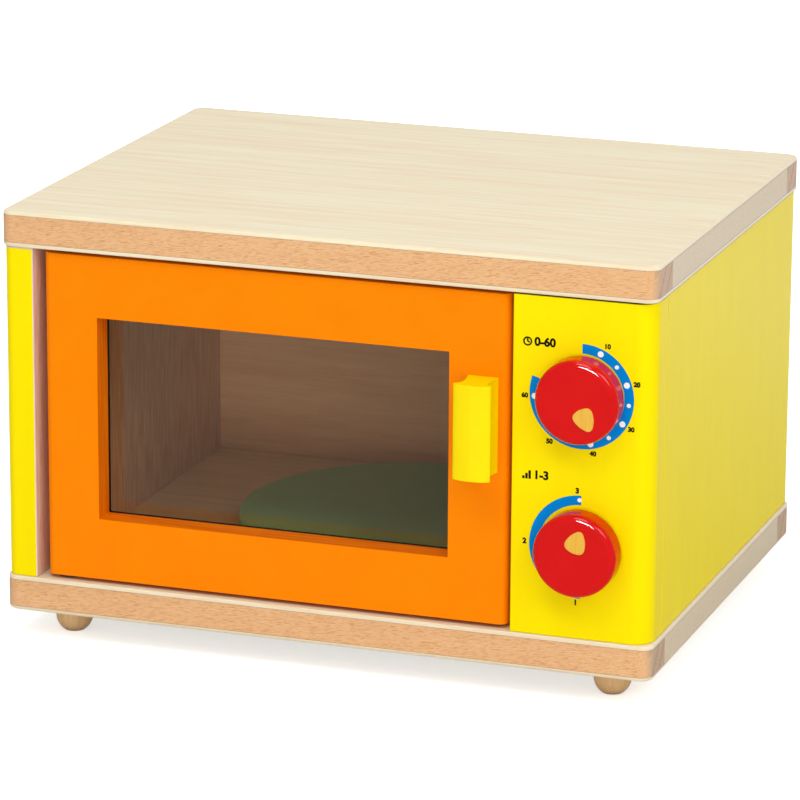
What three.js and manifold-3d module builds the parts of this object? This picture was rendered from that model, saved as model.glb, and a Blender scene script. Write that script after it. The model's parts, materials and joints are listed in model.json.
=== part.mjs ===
// A wooden toy microwave: two laminated boards joined by four panels, a door with a tinted window,
// two knobs, a turntable and four turned feet.
// Lengths are in millimetres. x runs to the right, y to the rear and z up, and the feet stand on z = 0.
import * as THREE from 'three';
import { mergeVertices } from 'three/addons/utils/BufferGeometryUtils.js';
import Module from 'manifold-3d';

const wasm = await Module();
wasm.setup();

// Box
const boxWidth = 340;
const boxDepth = 265;
const innerHeight = 171.2;
const boardThickness = 18.2;
const veneerThickness = 2.2;
const lippingWidth = 25;
const boardCornerRadius = 6.5;
const boardEdgeRadius = 2;
const panelSetback = 1.2;
const sidePanelThickness = 16;
const sidePanelEdgeRadius = 5;
const backPanelThickness = 8.5;
const controlPanelWidth = 70.9;
const controlPanelEdgeRadius = 10;
const dowelRadius = 4;
const dowelLength = 28;
const dowelDepthInBoard = 12;
const dowelChamfer = 0.8;
const sideDowelEndDistance = 60;
const controlDowelSpacing = 38;

// Feet
const footHeight = 15.5;
const footRadius = 9.5;
const footNeckHeight = 7.5;
const footPadRadius = 5.2;
const footInset = 26.5;
const footSpigotRadius = 4;
const footSpigotLength = 12;

// Door
const doorThickness = 18;
const doorRecess = 1.8;
const doorSwingClearance = 1.2;
const doorStopGap = 2.2;
const doorLatchGap = 2.5;
const doorBoardGap = 2.1;
const doorSideRadius = 4;
const hingeStileWidth = 28.5;
const handleStileWidth = 30.4;
const sillHeight = 31.6;
const topRailHeight = 31.3;
const windowCornerRadius = 0.6;
const paneThickness = 2;
const paneRecess = 0.2;
const paneLap = 7;
const paneScrewInset = 3.5;
const hingePinRadius = 2.5;
const hingePinInset = 9;
const hingePinDepth = 10;
const hingeWasherRadius = 6;

// Handle
const handleHeight = 47.8;
const handleDepth = 20;
const handleFrontWidth = 19.2;
const handleWaistWidth = 12.6;
const handleBaseWidth = 15.7;
const handleWaistDepth = 9;
const handleFrontBulge = 2.2;
const handleEdgeInset = 13;
const handleDrop = 65.7;
const handleEndRadius = 1.2;
const handleScrewInset = 10;

// Door stop and catch
const stopWidth = 24;
const stopDepth = 12;
const stopHeight = 100;
const stopReach = 10.6;
const magnetRadius = 3;
const magnetLength = 6;

// Knobs
const timerDrop = 49.1;
const powerHeight = 45.4;
const dialCentreDistance = 35.3;
const knobRadius = 21;
const knobLength = 12;
const knobFaceRadius = 3.4;
const knobBackChamfer = 0.8;
const pointerRadius = 5.35;
const pointerStretch = 1.066;
const pointerThickness = 3;
const pointerProud = 0.8;
const frictionWasherRadius = 14;
const frictionWasherThickness = 0.8;

// Pointers: the way each one looks, in degrees clockwise from upright, and the place of its middle
const timerPointer = { turn: 151.1, distance: 8.56, aside: -0.77 };
const powerPointer = { turn: 21.2, distance: 7.32, aside: -1.15 };

// Turntable
const turntableRadius = 90;
const turntableThickness = 9;
const turntableEdgeRadius = 2;
const turntableOffset = 5.6;
const spacerRadius = 12;
const spacerThickness = 3.7;
const turntablePinRadius = 3;
const turntablePinDepth = 12;
const turntablePinReach = 5;

// Screws: the radius of the shank and of the head, and how far the screw bites into what it holds
const paneScrew = { shank: 1.25, head: 2.75, headHeight: 1.6, bite: 6 };
const handleScrew = { shank: 2, head: 4, headHeight: 2.4, bite: 10 };
const knobScrew = { shank: 2, head: 4, headHeight: 2.4, bite: 7 };
const strikeScrew = { shank: 1.6, head: 3.2, headHeight: 1.6, bite: 12 };
const screwRecessDepth = 1;
const screwRecessSlot = 0.9;
const screwWasherRadius = 6;
const screwWasherThickness = 1;

// Fits
const runningGap = 0.3;
const fitGap = 0.2;
const holeEndGap = 0.5;
const cutOverrun = 5;

// Facets: pieces of a quarter turn on a corner, and steps round a turned piece
const cornerSteps = 5;
const edgeSteps = 2;
const smallTurnSteps = 12;
const pointerSteps = 30;
const footTurnSteps = 20;
const knobTurnSteps = 40;
const discTurnSteps = 56;

// Levels and faces that several pieces share, in the frame of the box: y = 0 is half way through its
// depth
const floorZ = footHeight + boardThickness;
const ceilingZ = floorZ + innerHeight;
const boxRight = boxWidth / 2;
const boxRear = boxDepth / 2;
const panelRight = boxRight - panelSetback;
const panelRear = boxRear - panelSetback;
const panelFront = -panelRear;
const innerRight = panelRight - sidePanelThickness;
const controlLeft = panelRight - controlPanelWidth;
const controlPanelThickness = doorRecess + doorThickness + doorStopGap;
const controlRear = panelFront + controlPanelThickness;
const middleZ = (floorZ + ceilingZ) / 2;

// Door leaf, seen from its hinge: the door group's origin lies on the hinge axis at the leaf's lower edge
const doorCornerSwing = Math.hypot(hingePinInset, doorThickness / 2);
const doorLeft = -innerRight + doorCornerSwing - hingePinInset + doorSwingClearance;
const doorWidth = controlLeft - doorLatchGap - doorLeft;
const doorHeight = innerHeight - 2 * doorBoardGap;
const doorFront = panelFront + doorRecess;
const doorRear = doorFront + doorThickness;
const hingeX = doorLeft + hingePinInset;
const hingeY = (doorFront + doorRear) / 2;
const leafLeft = -hingePinInset;
const leafRight = leafLeft + doorWidth;
const leafFront = -doorThickness / 2;
const leafRear = doorThickness / 2;
const windowLeft = leafLeft + hingeStileWidth;
const windowRight = leafRight - handleStileWidth;
const windowBottom = sillHeight;
const windowTop = doorHeight - topRailHeight;
const paneRear = leafRear - paneRecess;
const paneFront = paneRear - paneThickness;
const handleX = leafRight - handleEdgeInset;
const handleZ = doorHeight - handleDrop;

const toy = new THREE.Group();

function finish(red, green, blue, roughness, metalness = 0) {
  const colour = new THREE.Color().setRGB(red, green, blue, THREE.SRGBColorSpace);
  return new THREE.MeshStandardMaterial({ color: colour, roughness, metalness });
}

const bareBeech = finish(0.91, 0.75, 0.56, 0.6);
const paleVeneer = finish(0.93, 0.87, 0.76, 0.55);
const coreWood = finish(0.86, 0.76, 0.62, 0.7);
const bareBack = finish(0.78, 0.58, 0.46, 0.65);
const footWood = finish(0.75, 0.59, 0.37, 0.5);
const yellowPaint = finish(0.98, 0.9, 0, 0.35);
const orangePaint = finish(1, 0.54, 0.04, 0.35);
const redPaint = finish(0.86, 0.11, 0.11, 0.25);
const greenPaint = finish(0.3, 0.62, 0.2, 0.4);
const tintedAcrylic = finish(0.3, 0.18, 0.1, 0.1);
const pointerWood = finish(0.93, 0.73, 0.23, 0.5);
const steel = finish(0.75, 0.75, 0.77, 0.35, 1);
const nickel = finish(0.82, 0.8, 0.77, 0.2, 1);
const greyNylon = finish(0.6, 0.6, 0.58, 0.5);
const felt = finish(0.2, 0.2, 0.22, 0.95);

function solidOf(geometry) {
  const bare = geometry.clone();
  bare.deleteAttribute('normal');
  bare.deleteAttribute('uv');
  const merged = mergeVertices(bare);
  const mesh = new wasm.Mesh({
    numProp: 3,
    vertProperties: new Float32Array(merged.attributes.position.array),
    triVerts: new Uint32Array(merged.index.array),
  });
  return new wasm.Manifold(mesh);
}

function geometryOf(solid) {
  const mesh = solid.getMesh();
  const geometry = new THREE.BufferGeometry();
  geometry.setAttribute('position', new THREE.BufferAttribute(mesh.vertProperties, mesh.numProp));
  geometry.setIndex(new THREE.BufferAttribute(mesh.triVerts, 1));
  geometry.computeVertexNormals();
  return geometry;
}

function addPiece(parent, name, shape, material) {
  const geometry = shape.isBufferGeometry ? shape : geometryOf(shape);
  const piece = new THREE.Mesh(geometry, material);
  piece.name = name;
  parent.add(piece);
  return piece;
}

function block(x0, x1, y0, y1, z0, z1) {
  const geometry = new THREE.BoxGeometry(x1 - x0, y1 - y0, z1 - z0);
  geometry.translate((x0 + x1) / 2, (y0 + y1) / 2, (z0 + z1) / 2);
  return solidOf(geometry);
}

// A rectangle whose corners are rounded, given in turn from the low x and low y corner, anticlockwise
function roundedOutline(x0, x1, y0, y1, [r00, r10, r11, r01]) {
  const outline = new THREE.Shape();
  outline.moveTo(x0 + r00, y0);
  outline.lineTo(x1 - r10, y0);
  if (r10 > 0) outline.absarc(x1 - r10, y0 + r10, r10, -Math.PI / 2, 0);
  outline.lineTo(x1, y1 - r11);
  if (r11 > 0) outline.absarc(x1 - r11, y1 - r11, r11, 0, Math.PI / 2);
  outline.lineTo(x0 + r01, y1);
  if (r01 > 0) outline.absarc(x0 + r01, y1 - r01, r01, Math.PI / 2, Math.PI);
  outline.lineTo(x0, y0 + r00);
  if (r00 > 0) outline.absarc(x0 + r00, y0 + r00, r00, Math.PI, Math.PI * 3 / 2);
  return outline;
}

function prism(outline, z0, z1) {
  const geometry = new THREE.ExtrudeGeometry(outline, {
    depth: z1 - z0,
    bevelEnabled: false,
    curveSegments: cornerSteps,
  });
  geometry.translate(0, 0, z0);
  return geometry;
}

// A prism whose edges round both end faces are rounded
function easedPrism(outline, z0, z1, radius) {
  const geometry = new THREE.ExtrudeGeometry(outline, {
    depth: z1 - z0 - 2 * radius,
    bevelThickness: radius,
    bevelSize: radius,
    bevelOffset: -radius,
    bevelSegments: edgeSteps,
    curveSegments: cornerSteps,
  });
  geometry.translate(0, 0, z0 + radius);
  return geometry;
}

// Turns geometry drawn face up, with its front towards +z, so that the front looks towards -y
function facingFront(geometry) {
  return geometry.rotateX(Math.PI / 2);
}

// A body of revolution about z, from [radius, height] pairs that start and end on the axis
function turned(profile, steps) {
  const points = profile.map(([radius, height]) => new THREE.Vector2(radius, height));
  return new THREE.LatheGeometry(points, steps).rotateX(Math.PI / 2);
}

// A turned ring, whose [radius, height] pairs run round its section
function turnedRing(profile, steps) {
  return turned([...profile, profile[0]], steps);
}

function rod(radius, z0, z1) {
  return turned([[0, z0], [radius, z0], [radius, z1], [0, z1]], smallTurnSteps);
}

function washer(innerRadius, outerRadius, z0, z1) {
  const section = [[innerRadius, z0], [outerRadius, z0], [outerRadius, z1], [innerRadius, z1]];
  return turnedRing(section, smallTurnSteps);
}

// Points on a quarter circle in a turned profile, from one angle to another about its centre
function profileArc(centreRadius, centreHeight, radius, from, to, steps) {
  return Array.from({ length: steps + 1 }, (_, step) => {
    const angle = from + (to - from) * step / steps;
    return [centreRadius + radius * Math.cos(angle), centreHeight + radius * Math.sin(angle)];
  });
}

// A hole for a rod of this radius, from z0 to z1, about the given vertical axis
function holeCutter(radius, x, y, z0, z1) {
  return solidOf(rod(radius + fitGap, z0, z1).translate(x, y, 0));
}

// A hole that runs along y, from y0 to y1
function levelHoleCutter(radius, x, z, y0, y1) {
  return solidOf(rod(radius, y0, y1).rotateX(-Math.PI / 2).translate(x, 0, z));
}

// Screw: its tip points to -z, the underside of its head is at z = 0 and its head has a cross recess
const screwTipShare = 1.6;
const headCrownShare = 0.62;

function screwSolid({ shank, head, headHeight }, length) {
  const shape = turned([
    [0, -length],
    [shank, -length + shank * screwTipShare],
    [shank, 0],
    [head, 0],
    [head, headHeight * headCrownShare],
    [head * headCrownShare, headHeight],
    [0, headHeight],
  ], smallTurnSteps);
  const floor = headHeight - screwRecessDepth;
  const arm = head * headCrownShare;
  const slot = screwRecessSlot / 2;
  return solidOf(shape)
    .subtract(block(-arm, arm, -slot, slot, floor, headHeight + cutOverrun))
    .subtract(block(-slot, slot, -arm, arm, floor, headHeight + cutOverrun));
}

// How long each screw is: what it passes through, and its bite
const paneScrewLength = paneThickness + paneScrew.bite;
const handleScrewLength = doorThickness + handleScrew.bite;
const turntableBottom = spacerThickness + runningGap;
const knobBack = frictionWasherThickness + runningGap;
const knobScrewHeadDepth = controlPanelThickness + runningGap + screwWasherThickness;
const knobScrewLength = knobScrewHeadDepth + knobBack + knobScrew.bite;

// Places of what goes into the boards
const sideDowelX = panelRight - sidePanelThickness / 2;
const sideDowelY = [panelRear - sideDowelEndDistance, controlRear + sideDowelEndDistance];
const controlDowelX = controlLeft + controlPanelWidth / 2;
const controlDowelY = panelFront + controlPanelThickness / 2;
const dowelPlaces = [
  ['left_panel', 'rear', -sideDowelX, sideDowelY[0]],
  ['left_panel', 'front', -sideDowelX, sideDowelY[1]],
  ['right_panel', 'rear', sideDowelX, sideDowelY[0]],
  ['right_panel', 'front', sideDowelX, sideDowelY[1]],
  ['control_panel', 'left', controlDowelX - controlDowelSpacing / 2, controlDowelY],
  ['control_panel', 'right', controlDowelX + controlDowelSpacing / 2, controlDowelY],
];
const dowelDepthInPanel = dowelLength - dowelDepthInBoard;
const footPlaces = [
  ['front_left', -boxRight + footInset, -boxRear + footInset],
  ['front_right', boxRight - footInset, -boxRear + footInset],
  ['rear_left', -boxRight + footInset, boxRear - footInset],
  ['rear_right', boxRight - footInset, boxRear - footInset],
];

// Boards: a core with a beech lipping at the front and rear, faced with veneer above and below
function boardBlank(bottom) {
  const corners = Array(4).fill(boardCornerRadius);
  const outline = roundedOutline(-boxRight, boxRight, -boxRear, boxRear, corners);
  return solidOf(easedPrism(outline, bottom, bottom + boardThickness, boardEdgeRadius));
}

function addBoard(name, bottom, cutters) {
  const blank = cutters.reduce((solid, cutter) => solid.subtract(cutter), boardBlank(bottom));
  const side = boxRight + cutOverrun;
  const end = boxRear + cutOverrun;
  const lippingEdge = boxRear - lippingWidth;
  const top = bottom + boardThickness;
  const coreBottom = bottom + veneerThickness;
  const coreTop = top - veneerThickness;
  const layers = [
    [`${name}_core`, coreWood, block(-side, side, -lippingEdge, lippingEdge, coreBottom, coreTop)],
    [`${name}_front_lipping`, bareBeech, block(-side, side, -end, -lippingEdge, coreBottom, coreTop)],
    [`${name}_rear_lipping`, bareBeech, block(-side, side, lippingEdge, end, coreBottom, coreTop)],
    [`${name}_upper_veneer`, paleVeneer, block(-side, side, -end, end, coreTop, top + cutOverrun)],
    [`${name}_lower_veneer`, paleVeneer, block(-side, side, -end, end, bottom - cutOverrun, coreBottom)],
  ];
  for (const [node, wood, layer] of layers) addPiece(toy, node, blank.intersect(layer), wood);
}

function addBottomBoard() {
  const spigotTop = footHeight + footSpigotLength + holeEndGap;
  const cutters = [
    ...dowelPlaces.map(([, , x, y]) =>
      holeCutter(dowelRadius, x, y, floorZ - dowelDepthInBoard - holeEndGap, floorZ + cutOverrun)),
    ...footPlaces.map(([, x, y]) =>
      holeCutter(footSpigotRadius, x, y, footHeight - cutOverrun, spigotTop)),
    holeCutter(hingePinRadius, hingeX, hingeY, floorZ - hingePinDepth - holeEndGap, floorZ + cutOverrun),
    holeCutter(turntablePinRadius, 0, turntableOffset,
      floorZ - turntablePinDepth - holeEndGap, floorZ + cutOverrun),
  ];
  addBoard('bottom_board', footHeight, cutters);
}

function addTopBoard() {
  const cutters = [
    ...dowelPlaces.map(([, , x, y]) =>
      holeCutter(dowelRadius, x, y, ceilingZ - cutOverrun, ceilingZ + dowelDepthInBoard + holeEndGap)),
    holeCutter(hingePinRadius, hingeX, hingeY,
      ceilingZ - cutOverrun, ceilingZ + hingePinDepth + holeEndGap),
  ];
  addBoard('top_board', ceilingZ, cutters);
}

// Panels: they stand between the boards, and dowels hold their ends
function panelDowelHoles(panelName) {
  const depth = dowelDepthInPanel + holeEndGap;
  return dowelPlaces.filter(([panel]) => panel === panelName).flatMap(([, , x, y]) => [
    holeCutter(dowelRadius, x, y, floorZ - cutOverrun, floorZ + depth),
    holeCutter(dowelRadius, x, y, ceilingZ - depth, ceilingZ + cutOverrun),
  ]);
}

function addPanel(name, outline, material, cutters) {
  const blank = solidOf(prism(outline, floorZ, ceilingZ));
  addPiece(toy, name, cutters.reduce((solid, cutter) => solid.subtract(cutter), blank), material);
}

function addPanels() {
  const edge = sidePanelEdgeRadius;
  addPanel('left_side_panel',
    roundedOutline(-panelRight, -innerRight, panelFront, panelRear, [edge, 0, 0, edge]),
    yellowPaint, panelDowelHoles('left_panel'));
  addPanel('right_side_panel',
    roundedOutline(innerRight, panelRight, controlRear, panelRear, [0, 0, edge, 0]),
    yellowPaint, panelDowelHoles('right_panel'));
  addPanel('back_panel',
    roundedOutline(-innerRight, innerRight, panelRear - backPanelThickness, panelRear, [0, 0, 0, 0]),
    bareBack, []);
  addPanel('control_panel',
    roundedOutline(controlLeft, panelRight, panelFront, controlRear, [0, controlPanelEdgeRadius, 0, 0]),
    yellowPaint, [...panelDowelHoles('control_panel'), ...knobScrewHoles()]);
}

function dowelSolid() {
  return turned([
    [0, 0],
    [dowelRadius - dowelChamfer, 0],
    [dowelRadius, dowelChamfer],
    [dowelRadius, dowelLength - dowelChamfer],
    [dowelRadius - dowelChamfer, dowelLength],
    [0, dowelLength],
  ], smallTurnSteps);
}

function addDowels() {
  for (const [panel, side, x, y] of dowelPlaces) {
    addPiece(toy, `${panel}_upper_${side}_dowel`, dowelSolid(), bareBeech)
      .position.set(x, y, ceilingZ - dowelDepthInPanel);
    addPiece(toy, `${panel}_lower_${side}_dowel`, dowelSolid(), bareBeech)
      .position.set(x, y, floorZ - dowelDepthInBoard);
  }
}

// Feet: turned in one piece with the spigot that is glued into the bottom board
const footDomeSteps = 4;

function footSolid() {
  const domeHeight = footHeight - footNeckHeight;
  const domeStart = Math.acos(footPadRadius / footRadius);
  const dome = Array.from({ length: footDomeSteps + 1 }, (_, step) => {
    const angle = domeStart * (1 - step / footDomeSteps);
    const drop = domeHeight * Math.sin(angle) / Math.sin(domeStart);
    return [footRadius * Math.cos(angle), domeHeight - drop];
  });
  return turned([
    [0, 0],
    ...dome,
    [footRadius, footHeight],
    [footSpigotRadius, footHeight],
    [footSpigotRadius, footHeight + footSpigotLength],
    [0, footHeight + footSpigotLength],
  ], footTurnSteps);
}

function addFeet() {
  for (const [corner, x, y] of footPlaces) {
    addPiece(toy, `${corner}_foot`, footSolid(), footWood).position.set(x, y, 0);
  }
}

// Door: a leaf whose front edges are round at the left and right, and a pane in a rabbet at the rear
const paneScrewPlaces = [
  ['upper_left', windowLeft - paneScrewInset, windowTop + paneScrewInset],
  ['upper_right', windowRight + paneScrewInset, windowTop + paneScrewInset],
  ['lower_left', windowLeft - paneScrewInset, windowBottom - paneScrewInset],
  ['lower_right', windowRight + paneScrewInset, windowBottom - paneScrewInset],
];
const handleScrewPlaces = [
  ['upper', handleZ + handleHeight / 2 - handleScrewInset],
  ['lower', handleZ - handleHeight / 2 + handleScrewInset],
];
const stopCentreX = controlLeft - stopReach + stopWidth / 2;
const magnetX = controlLeft - (stopReach + doorLatchGap) / 2;
const magnetProud = controlRear - doorRear - strikeScrew.headHeight - runningGap;
const strikeX = magnetX - hingeX;
const strikeZ = doorHeight / 2;

function doorLeafSolid() {
  const edge = doorSideRadius;
  return solidOf(prism(roundedOutline(leafLeft, leafRight, leafFront, leafRear, [edge, edge, 0, 0]),
    0, doorHeight));
}

function windowCutters() {
  const corners = Array(4).fill(windowCornerRadius);
  const opening = roundedOutline(windowLeft, windowRight, windowBottom, windowTop, corners);
  const throughCut = prism(opening, -leafRear - cutOverrun, -leafFront + cutOverrun);
  return [
    solidOf(facingFront(throughCut)),
    block(windowLeft - paneLap, windowRight + paneLap, paneFront, leafRear + cutOverrun,
      windowBottom - paneLap, windowTop + paneLap),
  ];
}

function doorHoles() {
  const pinEnd = hingePinDepth + holeEndGap;
  return [
    holeCutter(hingePinRadius, 0, 0, -cutOverrun, pinEnd),
    holeCutter(hingePinRadius, 0, 0, doorHeight - pinEnd, doorHeight + cutOverrun),
    ...paneScrewPlaces.map(([, x, z]) => levelHoleCutter(paneScrew.shank + fitGap, x, z,
      paneRear - paneScrewLength - holeEndGap, leafRear + cutOverrun)),
    ...handleScrewPlaces.map(([, z]) => levelHoleCutter(handleScrew.shank + fitGap, handleX, z,
      leafFront - cutOverrun, leafRear + cutOverrun)),
    levelHoleCutter(strikeScrew.shank + fitGap, strikeX, strikeZ,
      leafRear - strikeScrew.bite - holeEndGap, leafRear + cutOverrun),
  ];
}

function paneSolid() {
  const edge = paneLap - fitGap;
  const pane = block(windowLeft - edge, windowRight + edge, paneFront, paneRear,
    windowBottom - edge, windowTop + edge);
  return paneScrewPlaces.reduce((solid, [, x, z]) => solid.subtract(
    levelHoleCutter(paneScrew.shank + fitGap, x, z, paneFront - cutOverrun, paneRear + cutOverrun)), pane);
}

// Handle: a bar with a slightly round front and a waist, screwed on from inside the door
function handleOutline() {
  const half = handleFrontWidth / 2;
  const waist = handleWaistWidth / 2;
  const base = handleBaseWidth / 2;
  const waistY = handleDepth - handleWaistDepth;
  const shoulderY = handleDepth - handleFrontBulge;
  const outline = new THREE.Shape();
  outline.moveTo(-base, 0);
  outline.lineTo(base, 0);
  outline.quadraticCurveTo(waist, waistY / 2, waist, waistY);
  outline.quadraticCurveTo(waist, (waistY + shoulderY) / 2, half, shoulderY);
  outline.quadraticCurveTo(half / 2, handleDepth, 0, handleDepth);
  outline.quadraticCurveTo(-half / 2, handleDepth, -half, shoulderY);
  outline.quadraticCurveTo(-waist, (waistY + shoulderY) / 2, -waist, waistY);
  outline.quadraticCurveTo(-waist, waistY / 2, -base, 0);
  return outline;
}

function handleSolid() {
  const bottom = handleZ - handleHeight / 2;
  const bar = easedPrism(handleOutline(), bottom, bottom + handleHeight, handleEndRadius);
  const placed = bar.rotateZ(Math.PI).translate(handleX, leafFront, 0);
  const screwEnd = leafFront - handleScrew.bite - holeEndGap;
  return handleScrewPlaces.reduce((solid, [, z]) => solid.subtract(
    levelHoleCutter(handleScrew.shank + fitGap, handleX, z, screwEnd, leafFront + cutOverrun)),
  solidOf(placed));
}

function addDoor() {
  const door = new THREE.Group();
  door.position.set(hingeX, hingeY, floorZ + doorBoardGap);
  toy.add(door);
  const cutters = [...windowCutters(), ...doorHoles()];
  addPiece(door, 'door_frame',
    cutters.reduce((solid, cutter) => solid.subtract(cutter), doorLeafSolid()), orangePaint);
  addPiece(door, 'door_window_pane', paneSolid(), tintedAcrylic);
  for (const [place, x, z] of paneScrewPlaces) {
    const screw = addPiece(door, `window_pane_${place}_screw`,
      screwSolid(paneScrew, paneScrewLength), steel);
    screw.rotation.x = -Math.PI / 2;
    screw.position.set(x, paneRear, z);
  }
  addPiece(door, 'door_handle', handleSolid(), yellowPaint);
  for (const [place, z] of handleScrewPlaces) {
    const screw = addPiece(door, `handle_${place}_screw`,
      screwSolid(handleScrew, handleScrewLength), steel);
    screw.rotation.x = -Math.PI / 2;
    screw.position.set(handleX, leafRear, z);
  }
  const strike = addPiece(door, 'catch_strike_screw', screwSolid(strikeScrew, strikeScrew.bite), steel);
  strike.rotation.x = -Math.PI / 2;
  strike.position.set(strikeX, leafRear, strikeZ);
}

// Hinge: two plain pins glued into the boards, each with a washer beside the board
function addHinge() {
  const pinLength = 2 * hingePinDepth + doorBoardGap;
  const washerThickness = doorBoardGap - runningGap;
  addPiece(toy, 'lower_hinge_pin', rod(hingePinRadius, 0, pinLength), steel)
    .position.set(hingeX, hingeY, floorZ - hingePinDepth);
  addPiece(toy, 'upper_hinge_pin', rod(hingePinRadius, 0, pinLength), steel)
    .position.set(hingeX, hingeY, ceilingZ + hingePinDepth - pinLength);
  const bore = hingePinRadius + fitGap;
  addPiece(toy, 'lower_hinge_washer', washer(bore, hingeWasherRadius, 0, washerThickness), steel)
    .position.set(hingeX, hingeY, floorZ);
  addPiece(toy, 'upper_hinge_washer', washer(bore, hingeWasherRadius, -washerThickness, 0), steel)
    .position.set(hingeX, hingeY, ceilingZ);
}

// Door stop: a strip glued behind the control panel, with a magnet that holds the strike screw's head
function addDoorStop() {
  const left = stopCentreX - stopWidth / 2;
  const magnetFront = controlRear - magnetProud;
  const magnetZ = floorZ + doorBoardGap + strikeZ;
  const magnetHole = levelHoleCutter(magnetRadius + fitGap, magnetX, magnetZ,
    controlRear - cutOverrun, magnetFront + magnetLength + holeEndGap);
  const strip = block(left, left + stopWidth, controlRear, controlRear + stopDepth,
    middleZ - stopHeight / 2, middleZ + stopHeight / 2);
  addPiece(toy, 'door_stop_strip', strip.subtract(magnetHole), bareBeech);
  const magnet = addPiece(toy, 'catch_magnet', rod(magnetRadius, 0, magnetLength), nickel);
  magnet.rotation.x = -Math.PI / 2;
  magnet.position.set(magnetX, magnetFront, magnetZ);
}

// Knobs: each turns with the screw that holds it from behind the control panel
const dialX = panelRight - dialCentreDistance;
const knobs = [
  ['timer', ceilingZ - timerDrop, timerPointer],
  ['power', floorZ + powerHeight, powerPointer],
];
const pointerCornerShare = 0.112;
const pointerSharpness = 0.022;

function knobScrewHoles() {
  return knobs.map(([, z]) => levelHoleCutter(knobScrew.shank + runningGap, dialX, z,
    panelFront - cutOverrun, controlRear + cutOverrun));
}

// The pointer: a triangle with round sides and corners, whose tip looks towards +y, about its middle
function pointerOutline(grow) {
  const points = Array.from({ length: pointerSteps }, (_, step) => {
    const angle = 2 * Math.PI * step / pointerSteps;
    const waves = pointerCornerShare * Math.cos(3 * angle) + pointerSharpness * Math.cos(6 * angle);
    const radius = pointerRadius * (1 + waves) + grow;
    return new THREE.Vector2(-radius * Math.sin(angle) / pointerStretch,
      radius * Math.cos(angle) * pointerStretch);
  });
  return new THREE.Shape(points);
}

function knobSolid({ distance, aside }) {
  const front = knobLength;
  const shape = solidOf(turned([
    [0, 0],
    [knobRadius - knobBackChamfer, 0],
    [knobRadius, knobBackChamfer],
    ...profileArc(knobRadius - knobFaceRadius, front - knobFaceRadius, knobFaceRadius,
      0, Math.PI / 2, edgeSteps + 1),
    [0, front],
  ], knobTurnSteps));
  const recessFloor = front + pointerProud - pointerThickness;
  const recess = prism(pointerOutline(fitGap), recessFloor, front + cutOverrun);
  recess.translate(aside, distance, 0);
  const screwHole = rod(knobScrew.shank + fitGap, -cutOverrun, knobScrew.bite + holeEndGap);
  return shape.subtract(solidOf(recess)).subtract(solidOf(screwHole));
}

function addKnobs() {
  for (const [name, z, pointer] of knobs) {
    const dial = new THREE.Group();
    dial.position.set(dialX, panelFront, z);
    dial.rotation.x = Math.PI / 2;
    toy.add(dial);
    const screwBore = knobScrew.shank + runningGap;
    addPiece(dial, `${name}_knob_friction_washer`,
      washer(screwBore, frictionWasherRadius, 0, frictionWasherThickness), felt);

    const knob = new THREE.Group();
    knob.rotation.z = -THREE.MathUtils.degToRad(pointer.turn);
    dial.add(knob);
    addPiece(knob, `${name}_knob`, knobSolid(pointer), redPaint).position.z = knobBack;
    addPiece(knob, `${name}_knob_pointer`, prism(pointerOutline(0), 0, pointerThickness), pointerWood)
      .position.set(pointer.aside, pointer.distance,
        knobBack + knobLength + pointerProud - pointerThickness);
    const screw = addPiece(knob, `${name}_knob_screw`, screwSolid(knobScrew, knobScrewLength), steel);
    screw.rotation.x = Math.PI;
    screw.position.z = -knobScrewHeadDepth;
    addPiece(knob, `${name}_knob_screw_washer`,
      washer(screwBore, screwWasherRadius, 0, screwWasherThickness), steel)
      .position.z = -knobScrewHeadDepth;
  }
}

// Turntable: a disc that turns on a steel pin in the floor, over a spacer. The pin ends inside the disc.
function turntableSolid() {
  const edge = turntableEdgeRadius;
  const bore = turntablePinRadius + runningGap;
  const boreTop = turntablePinReach + holeEndGap;
  const rim = turntableRadius - edge;
  return turned([
    [0, boreTop],
    [bore, boreTop],
    [bore, 0],
    ...profileArc(rim, edge, edge, -Math.PI / 2, 0, edgeSteps),
    ...profileArc(rim, turntableThickness - edge, edge, 0, Math.PI / 2, edgeSteps),
    [0, turntableThickness],
  ], discTurnSteps);
}

function addTurntable() {
  const centre = new THREE.Group();
  centre.position.set(0, turntableOffset, floorZ);
  toy.add(centre);
  const bore = turntablePinRadius + fitGap;
  const pinLength = turntablePinDepth + turntableBottom + turntablePinReach;
  addPiece(centre, 'turntable_spacer', washer(bore, spacerRadius, 0, spacerThickness), greyNylon);
  addPiece(centre, 'turntable_disc', turntableSolid(), greenPaint).position.z = turntableBottom;
  addPiece(centre, 'turntable_pin', rod(turntablePinRadius, 0, pinLength), steel)
    .position.z = -turntablePinDepth;
}

addBottomBoard();
addTopBoard();
addPanels();
addDowels();
addFeet();
addDoor();
addHinge();
addDoorStop();
addKnobs();
addTurntable();

// The origin lies under the middle of the whole toy, handle included
const handleReach = -(doorFront - handleDepth) - boxRear;
toy.position.y = handleReach / 2;

export default toy;
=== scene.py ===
import json
import math

import bmesh
import bpy
from mathutils import Matrix, Vector


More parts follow.
